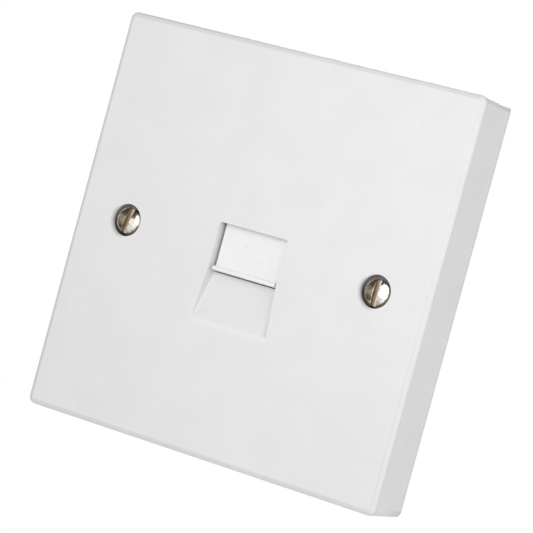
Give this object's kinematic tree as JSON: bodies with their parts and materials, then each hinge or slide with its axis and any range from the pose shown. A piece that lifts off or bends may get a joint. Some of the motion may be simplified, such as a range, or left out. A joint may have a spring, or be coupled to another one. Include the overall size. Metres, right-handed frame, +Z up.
{
  "type": "telephone wall socket",
  "caption": "Square white wall plate with a shuttered telephone jack and a scoop below it, two slotted fixing screws, and a screw terminal block behind.",
  "frame": {"origin": "middle of the plate's rim, on the wall plane, half way between the two fixing screws", "axes": "+X to the right as seen from the front, +Y into the wall along the fixing screws, +Z up"},
  "size_m": [0.085, 0.0256, 0.085],
  "materials": {
    "plate_moulding": "satin white moulding",
    "shutter_moulding": "smooth white moulding",
    "jack_moulding": "matt off-white moulding",
    "block_moulding": "matt off-white moulding",
    "washer_nylon": "natural nylon",
    "nickel_plate": "bright nickel plating",
    "spring_steel": "drawn wire",
    "zinc_plate": "bright zinc plating",
    "phosphor_bronze": "stamped strip",
    "screw_brass": "turned brass"
  },
  "bodies": {
    "socket": {"face_plate": "plate_moulding", "jack_body": "jack_moulding", "terminal_block": "block_moulding", "screw_washer_left": "washer_nylon", "screw_washer_right": "washer_nylon", "fixing_screw_left": "nickel_plate", "fixing_screw_right": "nickel_plate", "shutter_spring": "spring_steel", "module_screw_1": "zinc_plate", "module_screw_2": "zinc_plate", "contact_1": "phosphor_bronze", "terminal_screw_1": "screw_brass", "contact_2": "phosphor_bronze", "terminal_screw_2": "screw_brass", "contact_3": "phosphor_bronze", "terminal_screw_3": "screw_brass", "contact_4": "phosphor_bronze", "terminal_screw_4": "screw_brass", "contact_5": "phosphor_bronze", "terminal_screw_5": "screw_brass", "contact_6": "phosphor_bronze", "terminal_screw_6": "screw_brass"},
    "shutter": {"shutter": "shutter_moulding"}
  },
  "joints": [
    {"name": "shutter_slide", "type": "slide", "parent": "socket", "child": "shutter", "axis": [0, 0, 1], "range_m": [0, 0.0075], "stiffness_N_per_m": 110, "springref_m": -0.004, "deforming": ["shutter_spring"]}
  ]
}
